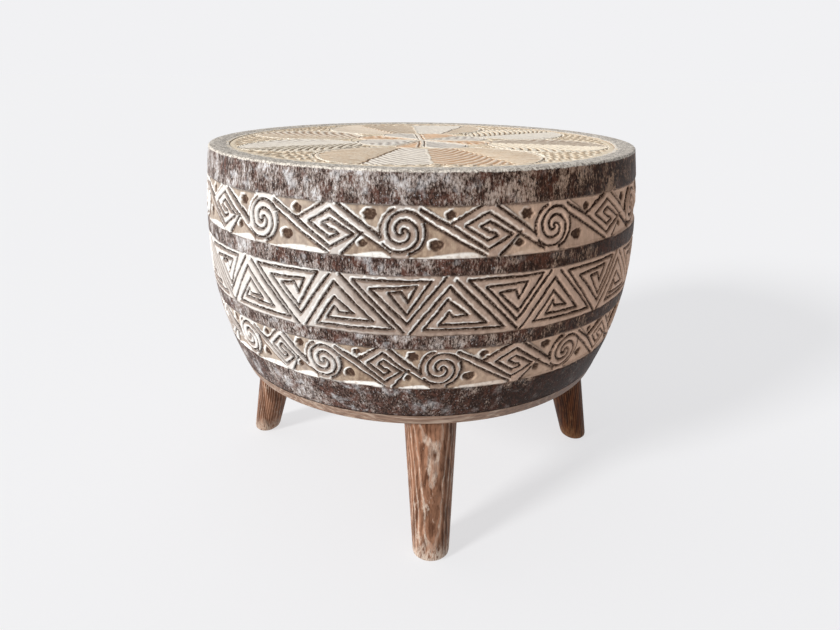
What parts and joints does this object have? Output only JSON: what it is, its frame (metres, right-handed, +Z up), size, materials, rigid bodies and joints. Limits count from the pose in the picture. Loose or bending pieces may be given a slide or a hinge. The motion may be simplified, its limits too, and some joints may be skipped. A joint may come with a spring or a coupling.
{
  "type": "drum side table",
  "caption": "Round wooden side table shaped like a kettle drum, with carved bands round its wall, a carved top let into the rim, and splayed oval legs wedged through its floor.",
  "frame": {"origin": "on the floor, under the middle of the drum", "axes": "+Z up, -Y towards the front of the picture, +X to its right"},
  "size_m": [0.5, 0.5, 0.412],
  "materials": {
    "stained_wall": "carved wood with a worn dark stain, whitewash rubbed over the carved bands",
    "limed_top": "carved wood, limed pale and rubbed back to tan on the raised work",
    "bare_board": "plain brown wood with a thin pale wash",
    "limed_leg": "reddish brown wood with pale lime left in its grain",
    "hard_wedge": "bare hardwood",
    "plain_batten": "bare sawn wood",
    "plain_peg": "bare turned wood"
  },
  "bodies": {
    "root": {"drum_body": "stained_wall", "top_board": "limed_top", "base_board": "bare_board", "leg_front": "limed_leg", "leg_right": "limed_leg", "leg_back": "limed_leg", "leg_left": "limed_leg", "wedge_front": "hard_wedge", "wedge_right": "hard_wedge", "wedge_back": "hard_wedge", "wedge_left": "hard_wedge", "batten_front": "plain_batten", "batten_back": "plain_batten", "base_pegs": "plain_peg", "batten_pegs": "plain_peg"}
  },
  "joints": []
}
